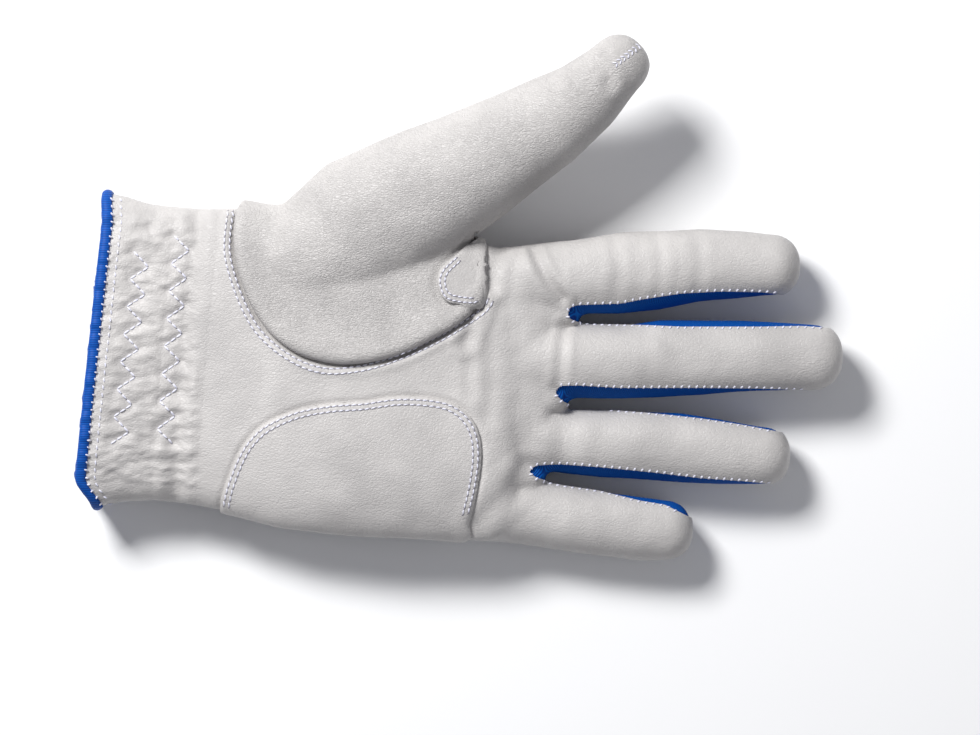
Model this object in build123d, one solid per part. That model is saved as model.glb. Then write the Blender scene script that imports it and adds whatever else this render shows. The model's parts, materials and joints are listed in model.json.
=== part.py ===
from build123d import *
import os
from math import cos, sin, tan, radians

# Golf glove for the left hand, lying on its back with the palm up.
# +X runs to the fingertips, +Y to the thumb side, +Z up out of the palm. Millimetres.

# ---- leather and cloth ----
WALL = 0.9              # leather shell
PATCH = 0.8             # layers sewn on the shell
GAP = 0.15              # air left on each side of a bending line

# ---- hand of the glove ----
PALM_Z0 = 2.6           # outer face of the back, above the closure tab
PALM_HEIGHT = 23.4      # thickness of the filled palm
PALM_ROUND = 10.5       # rounding of the palm's edges
PALM_CORNER = 13.0      # plan rounding of the palm's corners
BACK_SPLIT_Z = 7.0      # palm leather wraps round the side down to here
PALM_OUTLINE = [
    (-135, 30), (-62, 24.5), (8, 16.5), (27, 17), (27, -28), (16, -70.5),
    (-30, -66), (-64, -58.5), (-135, -57),
]

# ---- cuff ----
CUFF_POINT = (-99.6, -10, 14)   # a point in the plane of the cuff's raw edge
CUFF_SLANT = 6.0                # degrees, the thumb side is nearer the fingers
BINDING_WIDTH = 3.2
BINDING_LIP = 0.5               # how far the binding stands out over the leather
SLIT_END_X = -54
SLIT_Y = -4
SLIT_HALF_WIDTH = 2.2
SLIT_BINDING = 1.2

# ---- wrist elastics, under the two zigzag rows ----
ELASTIC_WIDTH = 6.0
ELASTIC_LENGTH = 56.0
ELASTIC_THICKNESS = 0.9
ELASTIC_MIDDLES = {"wrist_elastic_cuff_side": (-91.7, -14), "wrist_elastic_palm_side": (-79.7, -14)}

# ---- fingers: base pivot, direction in plan, lengths and radii ----
SEAM_ANGLE = 57.0       # the seams lie this far round from the middle of the front
BASE_LIMIT = 80.0       # bend at the root of a finger
FINGERS = {
    "index": dict(pivot=(31.0, 5.6), turn=3.0, mid=31.0, length=64.4, radii=(11.3, 10.3, 9.0),
                  wraps=1, limit=85.0),
    "middle": dict(pivot=(31.0, -17.7), turn=1.0, mid=36.0, length=76.1, radii=(11.2, 11.0, 9.8),
                   wraps=0, limit=85.0),
    "ring": dict(pivot=(27.5, -39.3), turn=-5.5, mid=31.0, length=65.3, radii=(9.9, 9.7, 8.5),
                 wraps=0, limit=85.0),
    "little": dict(pivot=(22.0, -59.9), turn=-8.9, mid=21.0, length=44.0, radii=(9.6, 9.4, 8.2),
                   wraps=-1, limit=75.0),
}
FINGER_ROOT = 14.0      # how far a finger's tube runs back into the palm
SLOT_AIR = 0.6          # air beside a finger's tube where it bends at its root
WEDGE_START = 0.6       # the folding creases start this far above a hinge's axis

# ---- thumb: centre line and radii, from inside the palm to the middle of the tip's dome ----
THUMB_LINE = [(-32, 13, 15.0), (-4, 33.5, 18.3), (27, 50.5, 24.5), (43.6, 64.5, 29.5)]
THUMB_RADII = [12.5, 17.0, 12.6, 8.9]
THUMB_LIMITS = (50.0, 65.0)
THUMB_SIDE_Y = 18.0     # the moving thumb starts above this line
THUMB_SEAM = [
    (-70, 34), (-64.5, 16), (-61.8, 3), (-55.6, -9.5), (-45.5, -17.5), (-33, -20.5),
    (-18, -17), (-4, -10.5), (7.5, -3), (10, 2), (9, 34),
]
QUIRK_OUTLINE = [(-2, 12), (-6, 6), (-4.5, -1), (5, -2.2), (7.2, 6), (6.8, 13)]

# ---- heel patch ----
HEEL_PATCH_OUTLINE = [
    (-66, -74), (-64, -50), (-53, -34), (-36, -29.5), (-6, -28.5), (4, -34),
    (6, -46), (2.5, -62), (-2, -76),
]

# ---- closure on the back ----
TAB_HINGE_Y = 9.0
TAB_HINGE_Z = 1.5
TAB_REACH = 40.0
TAB_WIDTHS = (36.0, 25.0)
TAB_X = -76.0
TAB_THICKNESS = 1.1
TAB_LIMIT = 120.0
HOOK_THICKNESS = 0.6
ANCHOR_LENGTH = 9.0
LABEL_SIZE = (10.0, 12.0, 0.4)
LABEL_AT = (-84.0, 8.0)
SMALLEST_PIECE = 30.0   # mm3, anything less is a trimming and is thrown away

FAR = 200.0             # size of cutting blocks


def finger_plane(finger):
    """The finger's own frame at its root pivot: x along the finger, z out of the palm."""
    turn = radians(finger["turn"])
    return Plane(origin=(*finger["pivot"], finger["radii"][0]),
                 x_dir=(cos(turn), sin(turn), 0), z_dir=(0, 0, 1))


def finger_profile(finger, inset):
    """Half section of a finger, root to domed tip, shrunk by inset."""
    root, middle, tip = (radius - inset for radius in finger["radii"])
    dome = finger["length"] - finger["radii"][2]
    walls = Polyline((-FINGER_ROOT, 0), (-FINGER_ROOT, root), (0, root),
                     (finger["mid"], middle), (dome, tip))
    half = sin(radians(45)) * tip
    cap = ThreePointArc((dome, tip), (dome + half, half), (dome + tip, 0))
    floor = Line((dome + tip, 0), (-FINGER_ROOT, 0))
    return make_face(walls + cap + floor)


def finger_solid(finger, inset):
    """A whole finger as one solid of revolution in its own frame."""
    return revolve(finger_profile(finger, inset), Axis.X)


def finger_sector(finger, start, sweep):
    """The leather shell of a finger between two angles about its axis, from +y over +z."""
    section = finger_profile(finger, 0) - finger_profile(finger, WALL)
    return Rot(X=start) * revolve(section, Axis.X, revolution_arc=sweep)


def smooth_prism(outline):
    """A tall block over a smooth plan outline."""
    return extrude(make_face(Spline(*outline, periodic=True)), FAR, both=True)


def side_block(points, half_width):
    """A block over an outline drawn in a limb's x-z plane."""
    return extrude(Plane.XZ * make_face(Polyline(*points, close=True)), half_width, both=True)


def before_hinge(x, limit, half_width=40.0):
    """All that may stay on the root side of a hinge at x, with room to bend by limit."""
    lean = tan(radians(limit / 2 + 1.5)) * FAR
    edge = x - GAP
    return side_block([(edge, 0), (edge - lean, FAR), (-2 * FAR, FAR), (-2 * FAR, -FAR), (edge, -FAR)],
                      half_width)


def after_hinge(x, limit, half_width=40.0):
    """All that may stay on the tip side of a hinge at x, with room to bend by limit."""
    lean = tan(radians(limit / 2 + 1.5)) * FAR
    edge = x + GAP
    return side_block([(edge, 0), (edge + lean, FAR), (2 * FAR, FAR), (2 * FAR, -FAR), (edge, -FAR)],
                      half_width)


def hinge_wedge(x, limit):
    """The wedge of leather that folds on the palm side of a hinge."""
    reach = 40.0
    lean = tan(radians(limit / 2 + 1.5)) * reach
    return side_block([(x, WEDGE_START), (x - lean, reach), (x + lean, reach)], 40.0)


def palm_form(inset):
    """The filled palm as a rounded slab, shrunk by inset."""
    plan = make_face(Polyline(*PALM_OUTLINE, close=True))
    plan = fillet(plan.vertices(), PALM_CORNER)
    if inset:
        plan = offset(plan, -inset, kind=Kind.ARC)
    slab = extrude(Pos(Z=PALM_Z0 + inset) * plan, PALM_HEIGHT - 2 * inset)
    rims = slab.edges().filter_by_position(Axis.Z, PALM_Z0 + inset - 0.01, PALM_Z0 + inset + 0.01)
    rims += slab.edges().filter_by_position(
        Axis.Z, PALM_Z0 + PALM_HEIGHT - inset - 0.01, PALM_Z0 + PALM_HEIGHT - inset + 0.01)
    return fillet(rims, PALM_ROUND - inset)


def thumb_plane(start, end):
    """The frame of one thumb segment: x along it, z out of the palm."""
    along = Vector(*end) - Vector(*start)
    across = Vector(0, 0, 1).cross(along)
    return Plane(origin=start, x_dir=along, z_dir=along.cross(across))


def thumb_form(inset):
    """The whole thumb as cones with round joints, shrunk by inset."""
    solid = None
    for start, end, wide, narrow in zip(THUMB_LINE, THUMB_LINE[1:], THUMB_RADII, THUMB_RADII[1:]):
        along = Vector(*end) - Vector(*start)
        cone = Solid.make_cone(wide - inset, narrow - inset, along.length, Plane(start, z_dir=along))
        ball = Pos(*end) * Sphere(narrow - inset)
        piece = cone + ball
        solid = piece if solid is None else solid + piece
    return solid + Pos(*THUMB_LINE[0]) * Sphere(THUMB_RADII[0] - inset)


def thumb_hinges():
    """The frames of the two thumb hinges, each facing along the thumb."""
    lower = thumb_plane(THUMB_LINE[0], THUMB_LINE[2])
    lower.origin = THUMB_LINE[1]
    tip = thumb_plane(THUMB_LINE[1], THUMB_LINE[3])
    tip.origin = THUMB_LINE[2]
    return lower, tip


def cuff_block(offset_along):
    """The half space on the finger side of the cuff's edge, moved by offset_along."""
    block = Pos(X=FAR + offset_along) * Box(2 * FAR, 2 * FAR, 2 * FAR)
    return Pos(*CUFF_POINT) * Rot(Z=-CUFF_SLANT) * block


def hand_form(inset):
    """Palm, finger roots and thumb joined, shrunk by inset."""
    form = palm_form(inset)
    for finger in FINGERS.values():
        form += finger_plane(finger).location * finger_solid(finger, inset)
    return form + thumb_form(inset)


def thumb_side():
    """The block that holds all of the thumb that stands clear of the palm."""
    return Pos(Y=THUMB_SIDE_Y + FAR / 2) * Box(2 * FAR, FAR, FAR)


def bending_space(limit, half_width):
    """All that a limb hinged at x = 0 sweeps or fills, cut away from what it is hinged to."""
    lean = tan(radians(limit / 2 + 1.5)) * FAR
    return side_block([(-GAP, 0), (-GAP - lean, FAR), (2 * FAR, FAR), (2 * FAR, -FAR), (-GAP, -FAR)],
                      half_width)


def root_shell(outer, inner):
    """The leather shell of palm, back and thumb base, open at the cuff."""
    shell = (outer - inner) & cuff_block(0)
    for finger in FINGERS.values():
        shell -= finger_plane(finger).location * bending_space(BASE_LIMIT, finger["radii"][0] + SLOT_AIR)
    lower_hinge, _ = thumb_hinges()
    return shell - (lower_hinge.location * bending_space(THUMB_LIMITS[0], 30.0) & thumb_side())


def closure_outline():
    """Plan of the closure tab: wide at its hinge, narrower and round at its free end."""
    near, far = (width / 2 for width in TAB_WIDTHS)
    end = TAB_HINGE_Y - TAB_REACH
    plan = make_face(Polyline(
        (TAB_X - near, TAB_HINGE_Y - 0.3), (TAB_X + near, TAB_HINGE_Y - 0.3),
        (TAB_X + far, end), (TAB_X - far, end), close=True))
    corners = plan.vertices().group_by(Axis.Y)[0]
    return fillet(corners, far * 0.8)


def finger_nodes(name, finger):
    """Leather, gussets and folding creases of one finger, in glove coordinates."""
    place = finger_plane(finger).location
    mid = finger["mid"]
    side = 180 - 2 * SEAM_ANGLE
    front = (90 - SEAM_ANGLE, 2 * SEAM_ANGLE)
    back = (270 - SEAM_ANGLE, 2 * SEAM_ANGLE)
    thumb_side = (SEAM_ANGLE - 90, side)
    little_side = (90 + SEAM_ANGLE, side)
    if finger["wraps"] == 1:
        panels = {"leather": [(270 - SEAM_ANGLE, 360 - side)], "gusset": [little_side]}
    elif finger["wraps"] == -1:
        panels = {"leather": [(90 - SEAM_ANGLE, 360 - side)], "gusset": [thumb_side]}
    else:
        panels = {"front": [front], "back": [back], "gussets": [thumb_side, little_side]}
    lower = after_hinge(0, BASE_LIMIT) & before_hinge(mid, finger["limit"])
    upper = after_hinge(mid, finger["limit"])
    nodes = {}
    for panel, sectors in panels.items():
        shells = [finger_sector(finger, *sector) for sector in sectors]
        nodes[f"{name}_base_{panel}"] = Compound([place * (s & lower) for shell in shells
                                                  for s in (shell & lower).solids()])
        nodes[f"{name}_tip_{panel}"] = Compound([place * s for shell in shells
                                                 for s in (shell & upper).solids()])
    tube = finger_sector(finger, 0, 360)
    nodes[f"{name}_root_crease"] = place * (tube & hinge_wedge(0, BASE_LIMIT))
    nodes[f"{name}_mid_crease"] = place * (tube & hinge_wedge(mid, finger["limit"]))
    return nodes


def thumb_nodes(shell):
    """The two moving segments of the thumb and its folding creases."""
    lower_hinge, tip_hinge = thumb_hinges()
    clear_of_palm = thumb_side()
    after_lower = lower_hinge.location * after_hinge(0, THUMB_LIMITS[0])
    before_tip = tip_hinge.location * before_hinge(0, THUMB_LIMITS[1])
    after_tip = tip_hinge.location * after_hinge(0, THUMB_LIMITS[1])
    front_half = tip_hinge.location * Pos(Z=FAR / 2 - 2) * Box(2 * FAR, 2 * FAR, FAR)
    lower = shell & clear_of_palm & after_lower & before_tip
    upper = shell & clear_of_palm & after_tip
    lower_wedge = lower_hinge.location * hinge_wedge(0, THUMB_LIMITS[0])
    tip_wedge = tip_hinge.location * hinge_wedge(0, THUMB_LIMITS[1])
    return {
        "thumb_lower_front": lower & front_half,
        "thumb_lower_back": lower - front_half,
        "thumb_tip_front": upper & front_half,
        "thumb_tip_back": upper - front_half,
        "thumb_root_crease": shell & clear_of_palm & lower_wedge,
        "thumb_mid_crease": shell & clear_of_palm & tip_wedge,
    }


def palm_nodes(outer, inner):
    """Palm, back, thumb base, crotch gussets and the layers sewn on them."""
    shell = root_shell(outer, inner)
    above_split = Pos(Z=BACK_SPLIT_Z + FAR / 2) * Box(2 * FAR, 2 * FAR, FAR)
    slit_length = SLIT_END_X - CUFF_POINT[0] + 20
    slit = Pos(SLIT_END_X - slit_length / 2, SLIT_Y, 0) * Box(
        slit_length, 2 * SLIT_HALF_WIDTH, 2 * (PALM_Z0 + 3))
    slit_round = Pos(SLIT_END_X, SLIT_Y, 0) * Cylinder(SLIT_HALF_WIDTH, 2 * (PALM_Z0 + 3))
    slit_space = slit + slit_round
    slit_wide = Pos(SLIT_END_X - slit_length / 2, SLIT_Y, 0) * Box(
        slit_length, 2 * (SLIT_HALF_WIDTH + SLIT_BINDING), 2 * (PALM_Z0 + 3))
    slit_wide += Pos(SLIT_END_X, SLIT_Y, 0) * Cylinder(SLIT_HALF_WIDTH + SLIT_BINDING, 2 * (PALM_Z0 + 3))
    slit_edge = shell & (slit_wide - slit_space) - above_split
    thumb_zone = smooth_prism(THUMB_SEAM)
    crotches = {
        "crotch_gusset_index_middle": (27.0, -6.0),
        "crotch_gusset_middle_ring": (24.5, -28.8),
        "crotch_gusset_ring_little": (17.5, -49.6),
    }
    nodes = {}
    rest = shell - slit_wide
    for name, (x, y) in crotches.items():
        zone = Pos(x, y, 12) * Cylinder(5.0, 17)
        nodes[name] = rest & zone
        rest -= zone
    front = rest & above_split
    nodes["thumb_panel"] = front & thumb_zone
    nodes["palm_panel"] = front - thumb_zone
    nodes["back_panel"] = rest - above_split
    nodes["slit_binding"] = slit_edge
    raised = (palm_form(-PATCH) - outer) & cuff_block(0) & above_split
    nodes["heel_patch"] = raised & smooth_prism(HEEL_PATCH_OUTLINE) - smooth_prism(THUMB_SEAM)
    nodes["thumb_quirk"] = raised & smooth_prism(QUIRK_OUTLINE)
    return nodes


def cuff_nodes():
    """The cuff's folded binding, open where the slit runs out."""
    band = cuff_block(-BINDING_WIDTH) - cuff_block(0)
    ring = (palm_form(-BINDING_LIP) - palm_form(WALL + BINDING_LIP)) & band
    gap = Pos(CUFF_POINT[0], SLIT_Y, 0) * Box(60, 2 * (SLIT_HALF_WIDTH + SLIT_BINDING), 2 * (PALM_Z0 + 4))
    return {"cuff_binding": ring - gap}


def elastic_nodes():
    """Flat elastic tapes inside the palm, one under each zigzag row."""
    top = PALM_Z0 + PALM_HEIGHT - WALL
    return {
        name: Pos(x, y, top - ELASTIC_THICKNESS / 2) * Rot(Z=-CUFF_SLANT) * Box(
            ELASTIC_WIDTH, ELASTIC_LENGTH, ELASTIC_THICKNESS)
        for name, (x, y) in ELASTIC_MIDDLES.items()
    }


def closure_nodes():
    """The tab that closes the slit on the back, with its hook and loop, and the size label."""
    tab = extrude(closure_outline(), TAB_THICKNESS)
    inset_plan = offset(closure_outline(), -4.0, kind=Kind.INTERSECTION)
    landing = Pos(TAB_X, TAB_HINGE_Y - 8 - FAR / 2) * Box(2 * FAR, FAR, 2 * FAR)
    hook = extrude(Pos(Z=TAB_THICKNESS) * inset_plan, HOOK_THICKNESS) & landing
    loop_z = TAB_THICKNESS + HOOK_THICKNESS + 0.1
    loop = extrude(Pos(Z=loop_z) * inset_plan, PALM_Z0 - loop_z) & landing
    anchor = Pos(TAB_X, TAB_HINGE_Y + 2 + ANCHOR_LENGTH / 2, (TAB_HINGE_Z + PALM_Z0) / 2) * Box(
        TAB_WIDTHS[0], ANCHOR_LENGTH, PALM_Z0 - TAB_HINGE_Z)
    slit_run = Pos(TAB_X, SLIT_Y) * Box(FAR, 2 * (SLIT_HALF_WIDTH + SLIT_BINDING), FAR)
    label = Pos(*LABEL_AT, PALM_Z0 + WALL + LABEL_SIZE[2] / 2) * Box(*LABEL_SIZE)
    return {"closure_tab": tab, "hook_patch": hook, "loop_patch": loop - slit_run,
            "tab_anchor": anchor, "size_label": label}


def glove():
    """Every node by name, before the glove is centred on its origin."""
    outer, inner = hand_form(0), hand_form(WALL)
    thumb_shell = thumb_form(0) - thumb_form(WALL)
    nodes = palm_nodes(outer, inner)
    nodes |= cuff_nodes() | elastic_nodes() | closure_nodes() | thumb_nodes(thumb_shell)
    for name, finger in FINGERS.items():
        nodes |= finger_nodes(name, finger)
    return nodes


def pieces(node):
    """The solids of a node, without trimmings."""
    return [solid for solid in node.solids() if solid.volume > SMALLEST_PIECE]


nodes = {name: pieces(node) for name, node in glove().items()}
bounds = Compound([solid for solids in nodes.values() for solid in solids]).bounding_box()
SHIFT = Pos(-bounds.center().X, -bounds.center().Y, -bounds.min.Z)

os.makedirs("parts", exist_ok=True)
for node_name, solids in nodes.items():
    export_step(Compound([SHIFT * solid for solid in solids]), f"parts/{node_name}.step")
print(len(nodes), "nodes, moved by", SHIFT.position, "size", bounds.size)
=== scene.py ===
import json
import math

import bmesh
import bpy
from mathutils import Matrix, Vector, noise
from mathutils.bvhtree import BVHTree
from mathutils.kdtree import KDTree


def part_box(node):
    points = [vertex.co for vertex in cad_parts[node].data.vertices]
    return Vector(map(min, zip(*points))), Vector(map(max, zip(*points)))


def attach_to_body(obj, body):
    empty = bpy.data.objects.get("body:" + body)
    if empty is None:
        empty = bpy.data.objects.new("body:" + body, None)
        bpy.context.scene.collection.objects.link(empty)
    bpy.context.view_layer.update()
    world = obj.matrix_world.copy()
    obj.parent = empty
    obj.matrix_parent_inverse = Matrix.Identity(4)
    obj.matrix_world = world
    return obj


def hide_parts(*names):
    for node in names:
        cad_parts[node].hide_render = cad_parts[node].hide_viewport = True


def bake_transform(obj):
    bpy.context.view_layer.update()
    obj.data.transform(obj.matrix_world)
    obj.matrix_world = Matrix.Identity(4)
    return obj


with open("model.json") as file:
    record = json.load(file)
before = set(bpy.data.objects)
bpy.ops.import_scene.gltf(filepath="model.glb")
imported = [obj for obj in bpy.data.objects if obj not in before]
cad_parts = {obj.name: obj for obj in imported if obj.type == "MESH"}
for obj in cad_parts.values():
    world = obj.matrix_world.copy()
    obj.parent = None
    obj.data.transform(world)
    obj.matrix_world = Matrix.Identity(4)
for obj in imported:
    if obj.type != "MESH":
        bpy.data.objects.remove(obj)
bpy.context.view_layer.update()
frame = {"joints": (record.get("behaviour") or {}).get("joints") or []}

# The glove is shaped in millimetres on its pattern's own axes and moved into the frame at the end.
MM = 0.001
PATTERN_PIVOT = Vector((31.0, 5.6, 11.3))
JOINTS = {joint["name"]: joint for joint in frame["joints"]}
PATTERN_SHIFT = Vector(JOINTS["index_root_bend"]["pos_m"]) / MM - PATTERN_PIVOT
TO_FRAME = Matrix.Scale(MM, 4) @ Matrix.Translation(PATTERN_SHIFT)


def to_pattern(place):
    """A point of the frame, in pattern millimetres."""
    return Vector(place) / MM - PATTERN_SHIFT


def to_frame(place):
    return tuple((place + PATTERN_SHIFT) * MM)


def add_object(name, data):
    thing = bpy.data.objects.new(name, data)
    bpy.context.scene.collection.objects.link(thing)
    return thing


def extrude_sheet(bm, geom=None):
    """Doubles a sheet, keeping the old one, and gives the new corners."""
    geom = geom or bm.faces[:] + bm.edges[:] + bm.verts[:]
    grown = bmesh.ops.extrude_face_region(bm, geom=geom, use_keep_orig=True)
    return [item for item in grown["geom"] if isinstance(item, bmesh.types.BMVert)]


def smooth(bm, verts, times, plan=True):
    """Relaxes corners, in height only where plan is off."""
    for _ in range(times):
        bmesh.ops.smooth_vert(bm, verts=verts, factor=0.5, use_axis_x=plan, use_axis_y=plan, use_axis_z=True)


# ---- the filled hand: sections as (x, y low, y high, z low, z high) ----
THINNING = 0.6          # fingers are lofted this much thin and filled out again after remeshing
VOXEL = 0.85
DOME_STEPS = (0.35, 0.6, 0.78, 0.9, 0.97, 0.995)
THUMB_RISE = 0.22       # slope of the thumb's last heading
PALM_SECTIONS = [
    (-116, -60.0, 31.5, 3.0, 25.5), (-103, -58.7, 30.0, 3.0, 25.0), (-94, -57.0, 28.6, 3.0, 24.2),
    (-86, -56.6, 26.2, 3.0, 23.2), (-79, -57.3, 25.3, 3.0, 22.6), (-72, -58.3, 24.8, 3.0, 23.0),
    (-62, -60.5, 25.0, 2.8, 24.4), (-50, -63.6, 26.0, 2.8, 25.4), (-33, -65.4, 22.0, 2.8, 26.0),
    (-16, -66.3, 18.0, 2.8, 25.8), (0, -67.5, 15.6, 2.6, 24.8), (9, -68.2, 14.6, 2.6, 23.4),
]
PALM_FRONT = 18.5
WEB_SECTIONS = [(0, -50.0, 12.0, 3.2, 22.5), (14, -48.5, 12.5, 3.2, 21.6), (21, -44.0, 13.0, 4.0, 20.6)]
WEB_FRONT = 26.0
# webs between the fingers end at the hinges, so that one finger can bend alone: y, half width, drop, front
CROTCH_WEBS = [(-5.0, 4.0, 29.0, 34.0), (-28.4, 3.6, 26.0, 31.0), (-49.8, 3.6, 19.0, 24.5)]
FINGER_SECTIONS = {
    "index": ([(2, -6.5, 14.0, 1.0, 22.5), (20, -6.0, 15.4, 0.4, 22.6), (31, -5.2, 16.0, 0.0, 22.6),
               (45, -5.2, 18.4, 0.0, 22.4), (56, -4.1, 18.8, 0.3, 21.8), (67, -1.8, 19.3, 0.6, 20.8),
               (79, -0.6, 18.8, 1.2, 20.0), (86, -0.1, 18.0, 1.7, 19.6)], 95.5),
    "middle": ([(2, -28.0, -7.0, 1.0, 22.5), (20, -28.8, -6.6, 0.4, 22.6), (31, -28.8, -7.3, 0.0, 22.4),
                (45, -29.0, -7.2, 0.0, 22.4), (56, -28.6, -5.4, 0.0, 22.2), (67, -28.0, -5.6, 0.4, 21.8),
                (79, -27.0, -5.7, 0.8, 21.2), (90, -26.6, -6.2, 1.2, 20.8), (97.5, -26.1, -6.6, 1.6, 20.4)],
               107.4),
    "ring": ([(0, -48.0, -29.5, 1.0, 20.8), (18, -48.9, -29.6, 0.4, 20.2), (27.5, -49.6, -31.0, 0.0, 19.8),
              (40, -51.0, -31.5, 0.0, 19.8), (50.5, -51.6, -31.2, 0.0, 19.8), (62, -52.5, -31.5, 0.3, 19.4),
              (73, -53.0, -33.3, 0.7, 18.8), (84, -52.8, -35.3, 1.3, 18.2)], 92.6),
    "little": ([(-4, -66.6, -48.5, 1.4, 20.4), (12, -69.0, -50.0, 0.4, 19.8), (22, -70.2, -51.0, 0.0, 19.4),
                (28, -70.8, -52.0, 0.0, 19.2), (39, -72.3, -53.5, 0.0, 19.0),
                (50.5, -73.6, -55.0, 0.6, 18.4), (57, -73.6, -56.0, 1.2, 17.8)], 65.5),
}
# thumb sections: centre x, y, z, heading in plan, half width, half height
THUMB_SECTIONS = [
    (-46, 7, 15, 40, 17, 11.5), (-25, 21.5, 16.5, 37, 20.5, 13.5), (-6.3, 31.4, 18.0, 33, 18.6, 15.2),
    (3.8, 36.7, 19.4, 33, 16.8, 14.6), (14, 42.6, 21.2, 33, 15.1, 13.4), (24.7, 48.7, 23.8, 35, 13.5, 12.0),
    (35.3, 55.9, 26.8, 40, 11.1, 10.2), (42.5, 62.6, 28.8, 44, 9.3, 8.8),
]
THUMB_TIP = 11.2


# ---- outlines on the palm side, in plan ----
THUMB_EDGE = [
    (-60, 60), (-61.2, 30), (-62.4, 16.8), (-61.2, 7.7), (-57.8, -1.4), (-52.8, -9.0), (-46.9, -14.0),
    (-40.7, -16.8), (-32.6, -18.2), (-24.1, -17.5), (-15.5, -15.1), (-6.9, -10.9), (-1.3, -7.8), (4.4, -3.1),
    (6.6, -1.0), (7.6, 8.0), (7.0, 16.0), (11.5, 18.8), (17.5, 23.4), (28, 30.2), (53, 49), (62, 85),
]
THUMB_STITCHES = [
    (-63.6, 26.0), (-64.6, 13.4), (-62.4, 4.0), (-59.0, -4.3), (-55.4, -9.9), (-49.8, -15.0), (-42.9, -18.9),
    (-36.1, -20.5), (-28.1, -19.9), (-21.2, -18.2), (-12.7, -15.0), (-4.1, -10.8), (1.5, -7.3), (7.0, -3.4),
    (9.4, 0.6),
]
HEEL_EDGE = [
    (-66.4, -58.0), (-65.0, -52.5), (-61.8, -44.5), (-58.6, -39.5), (-53.8, -35.2), (-45.2, -31.4),
    (-35.5, -29.6), (-27, -29.0), (-18.3, -27.8), (-11, -27.8), (-4.0, -28.8), (0.8, -31.2), (4.0, -35.0),
    (5.6, -39.5), (5.9, -44.8), (5.3, -50.4), (4.2, -56.0), (2.6, -62.2), (-0.2, -69), (-30, -78),
    (-66, -70),
]
QUIRK_EDGE = [
    (-1.3, 11.7), (-5.4, 7.6), (-6.2, 3.4), (-4.4, -0.6), (-0.7, -2.0), (4.8, -2.4), (6.2, -1.0), (7.0, 4.2),
    (7.6, 9.9), (7.0, 15.2), (4.0, 16.8), (1.0, 14.2),
]
# seams along the fingers: y of the front leather's edge at x; each pair meets at its crotch
SEAMS = {
    "index_middle": ([(30.1, -4.4), (30.35, -3.4), (31.2, -2.6), (33.0, -2.1), (39.3, -1.9),
                      (44.9, -1.7), (50.5, -0.6), (61.7, 1.1), (72.9, 1.7), (84.1, 1.5), (90.6, 0.9)],
                     [(30.1, -4.4), (30.35, -5.4), (31.2, -6.2), (33.0, -6.8), (39.3, -7.3),
                      (50.5, -7.6), (61.7, -8.1), (84.1, -8.1), (95.3, -7.9), (103.5, -8.4)]),
    "middle_ring": ([(26.8, -26.4), (27.1, -25.4), (28.2, -24.6), (33.7, -24.5), (44.9, -25.2),
                     (67.3, -25.2), (84.1, -25.4), (98, -25.9)],
                    [(26.8, -26.4), (27.1, -27.3), (28.4, -28.6), (30.5, -29.8), (33.0, -30.5),
                     (39.3, -31.1), (53.3, -32.2), (67.3, -33.7), (78.5, -35.4), (88.5, -37.3)]),
    "ring_little": ([(19.8, -48.4), (20.1, -47.6), (21.6, -46.8), (28.1, -46.5), (39.3, -47.3),
                     (53.3, -48.7), (67.3, -50.4), (78.5, -51.2), (88.0, -52.1)],
                    [(19.8, -48.4), (20.1, -49.3), (22.0, -50.5), (28.1, -52.3), (39.3, -54.0),
                     (50.5, -56.7), (57.5, -57.9), (62.5, -60.4)]),
}


def superellipse(angle, power):
    """A point on a rounded-square section; power 2 is an ellipse."""
    c, s = math.cos(angle), math.sin(angle)
    return (math.copysign(abs(c) ** (2 / power), c), math.copysign(abs(s) ** (2 / power), s))


def section_matrix(centre, heading, pitch, half_width, half_height):
    """Places a unit circle as a section that faces along a limb."""
    turn = Matrix.Rotation(heading, 4, "Z") @ Matrix.Rotation(-pitch, 4, "Y")
    face = Matrix(((0, 0, 1, 0), (1, 0, 0, 0), (0, 1, 0, 0), (0, 0, 0, 1)))
    return Matrix.Translation(centre) @ turn @ face @ Matrix.Diagonal((half_width, half_height, 1, 1))


def loft(bm, sections, sides, power):
    """A closed tube through section matrices, made of bridged rings."""
    rings = []
    for matrix in sections:
        verts = bmesh.ops.create_circle(bm, segments=sides, radius=1.0)["verts"]
        for vert in verts:
            x, y = superellipse(math.atan2(vert.co.y, vert.co.x), power)
            vert.co = (x, y, 0)
        bmesh.ops.transform(bm, matrix=matrix, verts=verts)
        rings.append(list({edge for vert in verts for edge in vert.link_edges}))
    for ring, following in zip(rings, rings[1:]):
        bmesh.ops.bridge_loops(bm, edges=ring + following)
    for ring in (rings[0], rings[-1]):
        bmesh.ops.edgeloop_fill(bm, edges=ring)


def straight_sections(rows, front, bluntness, thin):
    """Section matrices of a limb along x, ending in a dome."""
    steps = [(x, (lo + hi) / 2, (hi - lo) / 2 - thin, (down + up) / 2, (up - down) / 2 - thin)
             for x, lo, hi, down, up in rows]
    x, y, half_width, z, half_height = steps[-1]
    for part in DOME_STEPS:
        shrink = (1 - part ** bluntness) ** (1 / bluntness)
        steps.append((x + (front - thin - x) * part, y, half_width * shrink, z, half_height * shrink))
    return [section_matrix((x, y, z), 0, 0, w, h) for x, y, w, z, h in steps]


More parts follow.
